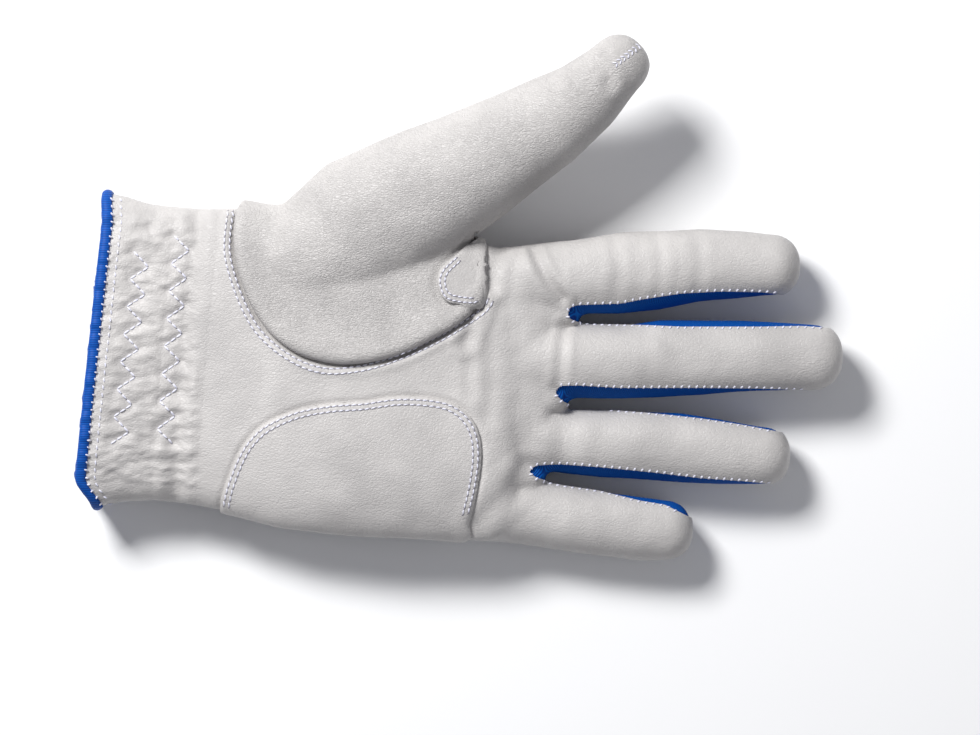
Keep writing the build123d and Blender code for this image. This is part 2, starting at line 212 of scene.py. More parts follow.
def thumb_sections():
    """Section matrices of the thumb, ending in a dome along its last heading."""
    steps = [(Vector((x, y, z)), math.radians(heading), w - THINNING, h - THINNING)
             for x, y, z, heading, w, h in THUMB_SECTIONS]
    centre, heading, w, h = steps[-1]
    before = steps[-2][0]
    along = Vector((math.cos(heading), math.sin(heading), THUMB_RISE)).normalized()
    for part in DOME_STEPS:
        shrink = (1 - part ** 2.5) ** (1 / 2.5)
        steps.append((centre + along * (THUMB_TIP - THINNING) * part, heading, w * shrink, h * shrink))
    pitch = math.atan2((centre - before).z, (centre - before).xy.length)
    return [section_matrix(c, a, pitch, w, h) for c, a, w, h in steps]


def shape_of_hand():
    """The filled glove as one closed skin of even quads."""
    bm = bmesh.new()
    loft(bm, straight_sections(PALM_SECTIONS, PALM_FRONT, 2.2, 0), 64, 3.2)
    loft(bm, straight_sections(WEB_SECTIONS, WEB_FRONT, 2.2, 0), 64, 3.0)
    for y, half, drop, front in CROTCH_WEBS:
        rows = [(2, y - half, y + half, 3.6, 22.4), (drop, y - half, y + half, 4.2, 19.8)]
        loft(bm, straight_sections(rows, front, 1.6, 0), 24, 2.2)
    for rows, front in FINGER_SECTIONS.values():
        loft(bm, straight_sections(rows, front, 2.4, THINNING), 36, 2.15)
    loft(bm, thumb_sections(), 40, 2.1)
    bmesh.ops.recalc_face_normals(bm, faces=bm.faces)
    mesh = bpy.data.meshes.new("blockout")
    bm.to_mesh(mesh)
    bm.free()
    block = add_object("blockout", mesh)
    remesh = block.modifiers.new("remesh", "REMESH")
    remesh.mode = "VOXEL"
    remesh.voxel_size = VOXEL
    depsgraph = bpy.context.evaluated_depsgraph_get()
    skin = bmesh.new()
    skin.from_object(block, depsgraph)
    bpy.data.objects.remove(block)
    bpy.data.meshes.remove(mesh)
    smooth(skin, skin.verts, 6)
    knuckles = [vert for vert in skin.verts
                if -6 < vert.co.x < 30 and abs(vert.normal.z) > 0.5 and vert.co.y < 16]
    smooth(skin, knuckles, 40, plan=False)
    return skin


# ---- helpers for lines on the surface ----
def smooth_line(points, step, closed=False):
    """Evenly spaced points on a smooth curve through the given ones."""
    points = [Vector(point) for point in points]
    if closed:
        points = [points[-1]] + points + points[:2]
    else:
        points = [points[0] * 2 - points[1]] + points + [points[-1] * 2 - points[-2]]
    dense = []
    for a, b, c, d in zip(points, points[1:], points[2:], points[3:]):
        count = max(2, int((c - b).length / step * 2))
        for i in range(count):
            t = i / count
            dense.append(0.5 * (2 * b + (c - a) * t + (2 * a - 5 * b + 4 * c - d) * t * t
                                + (3 * b - a - 3 * c + d) * t * t * t))
    dense.append(points[-2])
    even, travelled = [dense[0]], 0.0
    for before, after in zip(dense, dense[1:]):
        length = (after - before).length
        while travelled + length >= step:
            part = (step - travelled) / length
            before = before.lerp(after, part)
            even.append(before)
            length, travelled = (after - before).length, 0.0
        travelled += length
    return even


class Line:
    """A smooth curve in plan that knows how far a point is from it, and on which side."""

    def __init__(self, points, closed=False, step=0.5):
        self.points = smooth_line(points, step, closed)
        count = len(self.points)
        self.tangents = []
        for i in range(count):
            ahead = self.points[(i + 1) % count] if closed else self.points[min(i + 1, count - 1)]
            behind = self.points[i - 1] if closed else self.points[max(i - 1, 0)]
            self.tangents.append((ahead - behind).normalized())
        self.tree = KDTree(count)
        for i, point in enumerate(self.points):
            self.tree.insert((point.x, point.y, 0), i)
        self.tree.balance()

    def side(self, co):
        """Signed distance, positive on the left of the line's direction."""
        near, i, _ = self.tree.find((co.x, co.y, 0))
        tangent = self.tangents[i]
        across = Vector((-tangent.y, tangent.x))
        offset = Vector((co.x - near.x, co.y - near.y))
        along = offset.dot(tangent)
        return math.copysign(math.hypot(offset.dot(across), max(abs(along) - 0.5, 0)), offset.dot(across))

    def distance(self, co):
        """How far a point is from the line, in plan."""
        return self.tree.find((co.x, co.y, 0))[2]


def smoothstep(low, high, value):
    """0 at low, 1 at high and smooth between; low may be the larger."""
    t = min(max((value - low) / (high - low), 0.0), 1.0)
    return t * t * (3 - 2 * t)


def bell(distance, width):
    """1 at no distance, falling to nothing a few widths away."""
    return math.exp(-(distance / width) ** 2)


def seam_y(points, x):
    """The seam's y at x, carried on straight past both ends."""
    for (x0, y0), (x1, y1) in zip(points, points[1:]):
        if x < x1 or (x1, y1) == points[-1]:
            return y0 + (y1 - y0) * (x - x0) / (x1 - x0)


thumb_edge = Line(THUMB_EDGE, closed=True)
heel_edge = Line(HEEL_EDGE[::-1], closed=True)
quirk_edge = Line(QUIRK_EDGE, closed=True)


# ---- limbs: which moving part a point belongs to ----
class Limb:
    """A finger or the thumb, as its two hinges see it."""

    def __init__(self, name):
        root, mid = JOINTS[name + "_root_bend"], JOINTS[name + "_mid_bend"]
        self.name = name
        self.root = to_pattern(root["pos_m"])
        self.mid = to_pattern(mid["pos_m"])
        self.root_body, self.tip_body = root["child"], mid["child"]
        self.length = (self.mid - self.root).length
        axis = Vector(mid["axis"])
        self.along = Vector((-axis.y, axis.x, 0)).normalized()
        self.reach = min(self.length - 9.0, 24.0)

    def progress(self, co):
        """How far past the root hinge a point is, along the limb."""
        return (co - self.root).dot(self.along)

    def segment(self, co):
        """0 before the root hinge, 1 on the part past it, 2 on the tip."""
        at = self.progress(co)
        return 0 if at < ROOT_LINE else 1 if at < self.reach else 2

    def sideways(self, co):
        """How far a point is from the limb's own line, in plan."""
        offset = co - self.root
        return abs(offset.x * -self.along.y + offset.y * self.along.x)


LIMBS = {name: Limb(name) for name in ("index", "middle", "ring", "little", "thumb")}
ROOT_LINE = 1.0         # moving leather starts this far past a root hinge


def limb_of(co):
    """The finger or thumb that a point stands on, or None on the palm."""
    thumb = LIMBS["thumb"]
    if thumb.progress(co) > ROOT_LINE and co.y > 15.4 + 0.18 * max(co.x, 0):
        return thumb
    if co.x < 10:
        return None
    best = min((LIMBS[n] for n in ("index", "middle", "ring", "little")), key=lambda limb: limb.sideways(co))
    return best if best.progress(co) > ROOT_LINE else None


# ---- shaping the skin ----
FOLDS = [
    # points in plan, depth, half width of the valley
    ([(20.5, 14.0), (21.5, 11.0), (24.5, 5.0), (29.0, -0.5)], 0.95, 1.3),
    ([(29.4, -7.4), (28.6, -14.0), (28.0, -21.0), (27.4, -25.0)], 0.45, 1.4),
    ([(32.5, -31.0), (29.5, -38.0), (28.5, -47.0)], 0.55, 3.0),
    ([(20.0, -48.6), (11.5, -56.0), (5.5, -62.5)], 0.6, 2.6),
    ([(43.0, 17.0), (44.2, 8.0), (43.2, 0.5)], 0.28, 1.6),
    ([(54.8, 18.5), (56.0, 9.0), (55.0, 0.5)], 0.22, 1.5),
    ([(66.0, 19.0), (67.0, 10.0), (66.2, 2.0)], 0.2, 1.6),
    ([(52, -8), (52.6, -16), (52, -24)], 0.12, 1.8),
    ([(5.7, -2.0), (3.4, -8.0), (1.5, -13.0)], 0.7, 1.8),
    ([(10.5, -4.0), (9.0, -13.0), (9.5, -24.0), (8.0, -33.0)], 0.35, 2.4),
    ([(4.0, -12.0), (3.0, -20.0), (3.6, -27.0)], 0.25, 1.6),
    ([(15.0, 9.0), (13.6, 0.0), (14.5, -9.0)], 0.3, 2.2),
    ([(12.0, 14.0), (10.0, 8.0), (9.2, 2.0)], 0.5, 1.6),
    ([(-73.0, 24.0), (-75.5, -5.0), (-78.2, -38.0), (-79.4, -56.0)], 0.7, 2.0),
    ([(22.0, 66.0), (25.0, 61.5), (27.5, 59.0)], 0.5, 1.4),
    ([(39.0, 66.0), (41.5, 61.5), (41.0, 58.0)], 0.5, 1.6),
    ([(-4, -37), (-12, -49), (-14, -60)], 0.12, 4.0),
]
SWELLS = [
    # middle in plan, radius, height
    ((-30, -48), 26, 1.6), ((-34, 4), 22, 1.2), ((-78, -10), 10, -0.5), ((-8, -22), 18, -1.4),
    ((24, -14), 9, 0.9), ((22, -38), 8, 0.6), ((18, 6), 8, 0.6), ((14, -58), 9, 0.5),
]
GROOVE_DEPTH = 1.5      # the gap beside the thumb panel's rolled edge
PATCH_LIFT = 0.9
QUIRK_LIFT = 1.5
GUSSET_SINK = 0.7

# zigzag rows that gather the wrist: corners of each row along the cuff's slant
CUFF_SLANT = math.radians(6.0)
ZIGZAG_ROWS = [(-88.3, 12.5, -95.0, -44.0), (-77.2, 17.0, -82.3, -43.5)]
ZIGZAG_REACH = 2.3
ZIGZAG_PITCH = 7.7


def zigzag_corners(row):
    """The corners of one zigzag row, from the thumb side down."""
    x0, y0, x1, y1 = row
    start, end = Vector((x0, y0)), Vector((x1, y1))
    along = (end - start).normalized()
    across = Vector((-along.y, along.x))
    count = int((end - start).length / (ZIGZAG_PITCH / 2))
    return [start + along * (i * ZIGZAG_PITCH / 2) + across * ZIGZAG_REACH * (-1 if i % 2 == 0 else 1)
            for i in range(count + 1)]


def thread_tree(spacing):
    """Every zigzag thread as points, for the dents that they pull."""
    points = []
    for row in ZIGZAG_ROWS:
        corners = zigzag_corners(row)
        for a, b in zip(corners, corners[1:]):
            steps = int((b - a).length / spacing)
            points += [a.lerp(b, i / steps) for i in range(steps)]
    tree = KDTree(len(points))
    for i, point in enumerate(points):
        tree.insert((point.x, point.y, 0), i)
    tree.balance()
    return tree


zigzag_tree = thread_tree(0.4)
folds = [(Line(points), depth, width) for points, depth, width in FOLDS]


def gather_height(co):
    """The puckered leather of the gathered wrist."""
    middle = smoothstep(28, 20, co.y) * smoothstep(-56, -50, co.y)
    zone = smoothstep(-71.0, -75.0, co.x) * (0.35 + 0.65 * middle)
    if zone <= 0:
        return 0.0
    near = zigzag_tree.find((co.x, co.y, 0))[2]
    puff = 0.75 * (1 - math.exp(-(near / 1.5) ** 2)) - 0.35
    puff *= smoothstep(9.0, 3.0, near)
    drape = noise.noise(Vector((co.x * 0.16, co.y * 0.34, 3.0))) * 0.55
    drape += noise.noise(Vector((co.x * 0.4, co.y * 0.7, 9.0))) * 0.25
    return zone * (puff + drape)


def front_height(co):
    """How far the palm side stands out of the plain loft at a point."""
    height = gather_height(co)
    for line, depth, width in folds:
        distance = line.distance(co)
        if distance < 3 * width:
            height -= depth * bell(distance, width)
            height += 0.4 * depth * bell(distance - 2.0 * width, 0.9 * width)
    for (x, y), radius, rise in SWELLS:
        height += rise * bell(math.hypot(co.x - x, co.y - y), radius)
    height += 0.35 * noise.noise(Vector((co.x * 0.06, co.y * 0.06, co.z * 0.06)))
    height += 0.12 * noise.noise(Vector((co.x * 0.19, co.y * 0.19, co.z * 0.19)))
    return height


def seam_dents(co):
    """Grooves in the palm leather beside the panels that are sewn on it."""
    edge = thumb_edge.side(co)
    height = 0.0
    if -4 < edge < 4 and co.x < 7 and co.y < 24:
        height -= GROOVE_DEPTH * bell(edge + 0.3, 1.1)
        height += 0.25 * bell(edge + 3.0, 1.2)
    edge = heel_edge.side(co)
    if -4 < edge < 2:
        height -= 0.4 * bell(edge + 0.3, 0.9)
    return height


def shape_skin(skin):
    """Fills the fingers out again, then works folds, gathers and swells into the skin."""
    skin.normal_update()
    moves = []
    for vert in skin.verts:
        co, normal = vert.co, vert.normal
        move = THINNING * smoothstep(16, 31, co.x) * (1 if co.y < 22 else 0)
        if normal.z > 0.05:
            facing = smoothstep(0.05, 0.6, normal.z)
            move += facing * front_height(co)
            if co.z > 10:
                move += facing * seam_dents(co)
        else:
            move += 0.3 * noise.noise(co * 0.07)
        moves.append(normal * move)
    for vert, move in zip(skin.verts, moves):
        vert.co += move
        vert.co.z = max(vert.co.z, 0.05)


def refine(skin, wanted):
    """Halves the skin's faces where finer detail is wanted."""
    edges = {edge for face in skin.faces if wanted(face.calc_center_median(), face.normal)
             for edge in face.edges}
    bmesh.ops.subdivide_edges(skin, edges=list(edges), cuts=1, use_grid_fill=True)


def wants_detail(co, normal):
    """Whether the skin needs finer faces: the gathered wrist and the sewn-on panels' edges."""
    if normal.z > 0.15:
        if co.x < -68:
            return True
        if co.z > 10 and co.x < 8 and abs(thumb_edge.side(co)) < 3.2:
            return True
        if co.x < 8 and abs(heel_edge.side(co)) < 2.6:
            return True
    return False


def cut_where(bm, field):
    """Cuts the mesh along the zero line of a field, with a new corner on every edge that crosses it."""
    value = {vert: field(vert.co) for vert in bm.verts}
    new = []
    for edge in list(bm.edges):
        a, b = edge.verts
        before, after = value[a], value[b]
        if before is None or after is None or before * after >= 0:
            continue
        _, vert = bmesh.utils.edge_split(edge, a, before / (before - after))
        new.append(vert)
    bmesh.ops.connect_verts(bm, verts=new)


def near_only(value, reach):
    """A field's value near its zero line, and None elsewhere, so that only that line is cut."""
    return value if abs(value) < reach else None


def make_piece(name, bm, material):
    """A finished object in the frame from a bmesh in pattern millimetres."""
    bmesh.ops.transform(bm, matrix=TO_FRAME, verts=bm.verts)
    mesh = bpy.data.meshes.new(name)
    bm.to_mesh(mesh)
    bm.free()
    mesh.materials.append(material)
    for polygon in mesh.polygons:
        polygon.use_smooth = True
    return add_object(name, mesh)


class Finish:
    """A material under construction, patterned on object coordinates."""

    def __init__(self, name):
        self.material = bpy.data.materials.new(name)
        self.material.use_nodes = True
        self.tree = self.material.node_tree
        self.shader = self.tree.nodes["Principled BSDF"]
        self.coords = self.tree.nodes.new("ShaderNodeTexCoord").outputs["Object"]

    def node(self, kind, values, **settings):
        """A new node; a value that is another node's output is linked."""
        node = self.tree.nodes.new("ShaderNode" + kind)
        for key, value in settings.items():
            setattr(node, key, value)
        for socket, value in values.items():
            self.feed(node.inputs[socket], value)
        return node

    def feed(self, socket, value):
        if isinstance(value, bpy.types.NodeSocket):
            self.tree.links.new(value, socket)
        else:
            socket.default_value = value

    def tint(self, source, first, last, between=(0.0, 1.0)):
        """Colours the surface from one tone to another along a pattern."""
        ramp = self.node("ValToRGB", {"Fac": source})
        for element, at, color in zip(ramp.color_ramp.elements, between, (first, last)):
            element.position = at
            element.color = (*color, 1)
        self.feed(self.shader.inputs["Base Color"], ramp.outputs["Color"])

    def bump(self, source, strength, depth, invert=False):
        """Raises the surface along a pattern, depth metres at most."""
        values = {"Height": source, "Strength": strength, "Distance": depth}
        bump = self.node("Bump", values, invert=invert)
        self.feed(self.shader.inputs["Normal"], bump.outputs["Normal"])

    def finished(self, roughness, specular=None):
        self.feed(self.shader.inputs["Roughness"], roughness)
        if specular is not None:
            self.feed(self.shader.inputs["Specular IOR Level"], specular)
        return self.material


def leather_material(name, turn, stretched, strength):
    """Soft white full-grain leather: a fine pebbled grain over slow stretch marks."""
    finish = Finish(name)
    stretch = finish.node("Mapping", {"Vector": finish.coords, "Rotation": (0, 0, math.radians(turn)),
                                      "Scale": (1.0, stretched, 1.0)}).outputs["Vector"]
    cells = finish.node("TexVoronoi", {"Vector": stretch, "Scale": 900}, feature="DISTANCE_TO_EDGE")
    cell_edge = finish.node("MapRange", {"Value": cells.outputs["Distance"], "From Max": 0.16})
    wrinkles = finish.node("TexNoise", {"Vector": stretch, "Scale": 520, "Detail": 5,
                                        "Distortion": 1.2}).outputs["Fac"]
    slow = finish.node("TexNoise", {"Vector": finish.coords, "Scale": 60, "Detail": 3})
    grain = finish.node("Math", {0: cell_edge.outputs["Result"], 1: 0.35, 2: wrinkles},
                        operation="MULTIPLY_ADD")
    finish.bump(grain.outputs["Value"], strength, 0.00035)
    finish.tint(slow.outputs["Fac"], (0.45, 0.433, 0.422), (0.535, 0.515, 0.50), between=(0.3, 0.62))
    rough = finish.node("MapRange", {"Value": wrinkles, "To Min": 0.42, "To Max": 0.58})
    return finish.finished(rough.outputs["Result"])


def knit_material():
    """Royal-blue stretch knit with a fine diagonal twill."""
    finish = Finish("blue_knit")
    turn = tuple(math.radians(angle) for angle in (35, 20, 38))
    turned = finish.node("Mapping", {"Vector": finish.coords, "Rotation": turn}).outputs["Vector"]
    twill = finish.node("TexWave", {"Vector": turned, "Scale": 800, "Distortion": 1.4,
                                    "Detail": 1}).outputs["Fac"]
    finish.tint(twill, (0.001, 0.028, 0.21), (0.002, 0.115, 0.47))
    finish.bump(twill, 0.6, 0.0002)
    return finish.finished(0.75, 0.12)


def binding_material():
    """Smooth royal-blue binding tape with a faint rib across it."""
    finish = Finish("blue_binding")
    ribs = finish.node("TexWave", {"Vector": finish.coords, "Scale": 480, "Distortion": 0.4},
                       bands_direction="Y").outputs["Fac"]
    finish.tint(ribs, (0.001, 0.045, 0.26), (0.002, 0.085, 0.40))
    finish.bump(ribs, 0.3, 0.00015)
    return finish.finished(0.55, 0.2)


def thread_material():
    """Glossy polyester thread, white with a lavender cast and a fine twist."""
    finish = Finish("white_thread")
    twist = finish.node("TexWave", {"Vector": finish.coords, "Scale": 1400},
                        bands_direction="DIAGONAL").outputs["Fac"]
    finish.tint(twist, (0.60, 0.60, 0.72), (0.84, 0.84, 0.93))
    finish.bump(twist, 0.4, 0.0001)
    return finish.finished(0.4)


def needle_shade_material():
    """Painted shade of the pit where the needle went through: a dark speckled grey disc."""
    finish = Finish("needle_hole")
    speckle = finish.node("TexNoise", {"Vector": finish.coords, "Scale": 900})
    finish.tint(speckle.outputs["Fac"], (0.20, 0.19, 0.22), (0.34, 0.32, 0.35))
    return finish.finished(0.9)


def tape_material(name, dark, light, scale, depth, roughness):
    """A woven or brushed tape: small cells with raised ends."""
    finish = Finish(name)
    cells = finish.node("TexVoronoi", {"Vector": finish.coords, "Scale": scale,
                                       "Randomness": 0.55}).outputs["Distance"]
    finish.tint(cells, light, dark)
    finish.bump(cells, 0.8, depth, invert=True)
    return finish.finished(roughness)


LEATHER_FINISH = leather_material("white_leather", 28, 1.7, 0.5)
THUMB_FINISH = leather_material("thumb_leather", 62, 2.4, 0.85)
KNIT_FINISH = knit_material()
BINDING_FINISH = binding_material()
THREAD_FINISH = thread_material()
NEEDLE_SHADE_FINISH = needle_shade_material()
HOOK_FINISH = tape_material("hook_tape", (0.45, 0.45, 0.48), (0.85, 0.85, 0.88), 1500, 0.0004, 0.45)
LOOP_FINISH = tape_material("loop_tape", (0.55, 0.55, 0.58), (0.86, 0.86, 0.88), 2400, 0.0003, 0.9)
ELASTIC_FINISH = tape_material("woven_elastic", (0.62, 0.62, 0.64), (0.86, 0.86, 0.87), 1800, 0.0002, 0.7)
LABEL_FINISH = tape_material("woven_label", (0.78, 0.78, 0.79), (0.9, 0.9, 0.9), 3000, 0.0001, 0.6)


# ---- cutting the skin into its panels ----
CUFF_POINT = Vector((-99.6, -10.0, 14.0))
CUFF_NORMAL = Vector((math.cos(CUFF_SLANT), -math.sin(CUFF_SLANT), 0))
CUFF_DRAW = 5.0         # the little-finger side of the cuff is drawn towards the palm
BINDING_WIDTH = 3.0
PALM_SPLIT = 7.0
FINGER_SPLIT = 8.0
THUMB_SPLIT = 3.0       # below the thumb's middle
PATCH_FOOT = 9.0        # the heel patch ends low on the side of the hand
UNDERLAP = 2.5          # palm leather runs on under the thumb panel
SLIT_HALF_WIDTH = 2.2
SLIT_Y = -4.0
SLIT_END_X = -54.0


def cuff_draw(y):
    """How far the cuff's edge is drawn out of its straight line."""
    return CUFF_DRAW * smoothstep(-50, -59, y) - 1.2 * smoothstep(20, 29, y)


def cuff_side(co):
    """Distance in from the cuff's raw edge, negative out on the binding."""
    return (co - CUFF_POINT).dot(CUFF_NORMAL) - cuff_draw(co.y)


def gusset_side(co):
    """Positive on the knit between two fingers."""
    if co.x < 18:
        return -5.0
    best = -5.0
    for upper, lower in SEAMS.values():
        best = max(best, min(seam_y(upper, co.x) - co.y, co.y - seam_y(lower, co.x)))
    return best


def nearest_crotch(co):
    """The pair of fingers whose crotch a point is at."""
    return min(SEAMS, key=lambda name: abs(SEAMS[name][0][0][1] - co.y))


def split_height(co):
    """Height of the line where front and back leather meet."""
    thumb = LIMBS["thumb"]
    reach = thumb.progress(co)
    on_thumb = smoothstep(14, 24, co.y) * smoothstep(-45, -5, reach)
    thumb_height = 18.3 + 0.17 * max(reach, -20) - THUMB_SPLIT
    palm = PALM_SPLIT + (FINGER_SPLIT - PALM_SPLIT) * smoothstep(0, 20, co.x)
    return palm + (thumb_height - palm) * on_thumb


def slit_side(co):
    """Positive inside the slit on the back."""
    if co.z > PALM_SPLIT or co.x > SLIT_END_X + 8:
        return -5.0
    if co.x > SLIT_END_X:
        return SLIT_HALF_WIDTH - math.hypot(co.x - SLIT_END_X, co.y - SLIT_Y)
    return SLIT_HALF_WIDTH - abs(co.y - SLIT_Y)


def front_only(field, reach=3.0):
    """A field in plan that only cuts the palm side."""
    return lambda co: near_only(field(co), reach) if co.z > 9.0 else None


def limb_plane(limb, at):
    """A field that cuts square across one limb."""
    def field(co):
        if limb.sideways(co) > (26 if limb.name == "thumb" else 13):
            return None
        if limb.name == "thumb" and co.y < 14:
            return None
        return near_only(limb.progress(co) - at, 3.0)
    return field


def cut_panels(skin):
    """Cuts the skin along every seam, edge and bending line."""
    cut_where(skin, lambda co: near_only(cuff_side(co) + BINDING_WIDTH, 4.0))
    cut_where(skin, lambda co: near_only(cuff_side(co), 3.0))
    cut_where(skin, lambda co: near_only(gusset_side(co), 3.0))
    cut_where(skin, lambda co: near_only(co.z - split_height(co), 3.0))
    cut_where(skin, front_only(thumb_edge.side))
    cut_where(skin, front_only(lambda co: thumb_edge.side(co) - UNDERLAP))
    cut_where(skin, front_only(heel_edge.side))
    cut_where(skin, front_only(quirk_edge.side))
    cut_where(skin, lambda co: near_only(co.z - PATCH_FOOT, 3.0) if heel_edge.side(co) > -2 else None)
    cut_where(skin, lambda co: near_only(slit_side(co), 3.0))
    for limb in LIMBS.values():
        cut_where(skin, limb_plane(limb, ROOT_LINE))
        cut_where(skin, limb_plane(limb, limb.reach))
    outside = [face for face in skin.faces
               if cuff_side(face.calc_center_median()) < -BINDING_WIDTH
               or slit_side(face.calc_center_median()) > 0]
    bmesh.ops.delete(skin, geom=outside, context="FACES")


def panel_of(co):
    """The panel at a point: its kind, then its limb and segment."""
    if cuff_side(co) < 0:
        return "binding", None, 0
    limb = limb_of(co)
    segment = max(1, limb.segment(co)) if limb else 0
    if gusset_side(co) > 0:
        kind = "gusset" if limb else "crotch_" + nearest_crotch(co)
    elif co.z < split_height(co):
        kind = "back"
    elif thumb_edge.side(co) > 0 and (limb is None or limb.name == "thumb") and co.x < 60 and co.y > -22:
        kind = "thumb"
    else:
        kind = "front"
    return kind, limb.name if limb else None, segment


LEATHER = 0.8
KNIT = 0.5
BINDING = LEATHER + 1.0
PATCH = 0.7


def peel(skin, keep):
    """A copy of the skin's faces that keep() accepts."""
    piece = skin.copy()
    piece.faces.ensure_lookup_table()
    skin.faces.ensure_lookup_table()
    drop = [face for face, original in zip(piece.faces, skin.faces) if not keep(original)]
    bmesh.ops.delete(piece, geom=drop, context="FACES")
    return piece


def thicken(bm, thickness, lift=None):
    """Lifts an open sheet off the skin and gives it an inner face and edges."""
    normal_layer = bm.verts.layers.float_vector["skin_normal"]
    inner_layer = bm.verts.layers.int.new("inner")
    if lift:
        for vert in bm.verts:
            vert.co += vert[normal_layer] * lift(vert.co)
    for vert in extrude_sheet(bm):
        vert.co -= vert[normal_layer] * thickness
        vert[inner_layer] = 1
    bmesh.ops.reverse_faces(bm, faces=bm.faces)


def finish_panel(name, bm, material, own_shape=None):
    """A finished panel, shaded as part of the whole skin except where own_shape() says it stands off."""
    normal_layer = bm.verts.layers.float_vector["skin_normal"]
    inner_layer = bm.verts.layers.int["inner"]
    normals = []
    bm.normal_update()
    bm.verts.index_update()
    for face in bm.faces:
        inner = sum(vert[inner_layer] for vert in face.verts)
        for vert in face.verts:
            if 0 < inner < len(face.verts):
                normals.append(face.normal.copy())
            else:
                as_skin = vert[normal_layer] * (-1 if vert[inner_layer] else 1)
                share = own_shape(vert.co) if own_shape else 0.0
                normals.append(as_skin.lerp(vert.normal, share).normalized())
    piece = make_piece(name, bm, material)
    piece.data.normals_split_custom_set(normals)
    return piece


def all_over(co):
    """Shading that is all a piece's own."""
    return 1.0


def gusset_lift(co):
    """The knit lies a little deeper than the leather beside it."""
    return -GUSSET_SINK


def attach(piece, limb_name, segment):
    """Rides a panel on the hand; a limb's panel only has its transform baked."""
    if not limb_name:
        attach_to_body(piece, "root")
        return
    limb = LIMBS[limb_name]
    stretch = (ROOT_LINE, limb.reach) if segment == 1 else (limb.reach, 2 * limb.length - limb.reach)
    start, end = (to_frame(limb.root + limb.along * at) for at in stretch)
    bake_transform(piece)
    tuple(start)
    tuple(end)


# ---- building every panel ----
def rim_lift(line, rise, spread, tuck):
    """Height of a sewn-on panel: a rolled edge that swells and settles inwards."""
    def lift(co):
        inside = line.distance(co)
        settled = smoothstep(0.0, -10.0, LIMBS["thumb"].progress(co))
        under_quirk = bell(quirk_edge.side(co) + 0.7, 0.8)
        roll = (0.25 + rise * (1 - tuck * bell(inside, 0.9)))
        return settled * roll * bell(inside, spread) - 0.8 * under_quirk
    return lift


thumb_rim = Line(THUMB_EDGE[1:18])


def thumb_rim_share(co):
    """How much of the thumb panel's shading comes from its own rolled rim."""
    return bell(thumb_rim.distance(co), 14.0) * smoothstep(0.0, -10.0, LIMBS["thumb"].progress(co))


SEGMENT_NAMES = {0: "", 1: "_base", 2: "_tip"}
KIND_NAMES = {"front": "front_leather", "back": "back_leather", "gusset": "knit", "thumb": "thumb_leather"}


def binding_lift(co):
    """The folded binding is a soft round roll along the cuff's edge."""
    across = (cuff_side(co) + BINDING_WIDTH / 2) / (BINDING_WIDTH / 2)
    return 0.1 + 1.0 * math.sqrt(max(0.0, 1 - across * across))


def panel_name(kind, limb_name, segment):
    """The name of a panel's piece."""
    if kind == "binding":
        return "cuff_binding_roll"
    if kind.startswith("crotch"):
        return kind + "_knit"
    return f"{limb_name or 'palm'}{SEGMENT_NAMES[segment]}_{KIND_NAMES[kind]}"


def build_panels(skin):
    """Every leather, knit and binding panel as its own object."""
    normal_layer = skin.verts.layers.float_vector.new("skin_normal")
    skin.normal_update()
    for vert in skin.verts:
        vert[normal_layer] = vert.normal
    centres = {face: face.calc_center_median() for face in skin.faces}
    labels = {face: panel_of(centre) for face, centre in centres.items()}
    pieces = {}
    for label in sorted(set(labels.values()), key=str):
        kind, limb_name, segment = label
        palm_front = label == ("front", None, 0)

        def keep(face):
            if labels[face] == label:
                return True
            return (palm_front and labels[face] == ("thumb", None, 0) and centres[face].y < 24
                    and thumb_edge.side(centres[face]) < UNDERLAP)

        bm = peel(skin, keep)
        finish, slot, thickness, lift, own_shape = LEATHER_FINISH, "leather", LEATHER, None, None
        if kind == "gusset" or kind.startswith("crotch"):
            finish, slot, thickness = KNIT_FINISH, "blue_knit", KNIT
            lift = gusset_lift
        elif kind == "binding":
            finish, slot, thickness = BINDING_FINISH, "blue_binding", BINDING
            lift, own_shape = binding_lift, all_over
        elif kind == "thumb":
            finish = THUMB_FINISH
            if limb_name is None:
                lift, own_shape = rim_lift(thumb_rim, 2.1, 7.0, 0.75), thumb_rim_share
        thicken(bm, thickness, lift)
        pieces[label] = finish_panel(panel_name(*label), bm, finish, own_shape)
        attach(pieces[label], limb_name, segment)
    heel = peel(skin, lambda face: heel_edge.side(centres[face]) > 0 and centres[face].z > PATCH_FOOT
                and labels[face] == ("front", None, 0))
    thicken(heel, PATCH, lambda co: PATCH_LIFT - 0.3 * bell(heel_edge.distance(co), 0.6))
    pieces["heel"] = finish_panel("heel_patch_leather", heel, LEATHER_FINISH, all_over)
    quirk = peel(skin, lambda face: quirk_edge.side(centres[face]) > 0 and centres[face].z > 9)
    thicken(quirk, PATCH, quirk_lift)
    pieces["quirk"] = finish_panel("thumb_quirk_leather", quirk, LEATHER_FINISH, all_over)
    for key in ("heel", "quirk"):
        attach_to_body(pieces[key], "root")
    return pieces


def quirk_lift(co):
    """The quirk stands off the thumb panel and folds down on its finger side."""
    fold = smoothstep(7.6, 6.4, co.x - 0.03 * co.y)
    return 0.5 + QUIRK_LIFT * fold - 0.35 * bell(quirk_edge.distance(co), 0.6)


# ---- stitches and threads ----
def surface_of(pieces):
    """A tree for finding the glove's outside, in pattern millimetres."""
    back = TO_FRAME.inverted()
    corners, faces = [], []
    for piece in pieces:
        start = len(corners)
        corners += [back @ vert.co for vert in piece.data.vertices]
        faces += [[start + i for i in polygon.vertices] for polygon in piece.data.polygons]
    return BVHTree.FromPolygons(corners, faces)


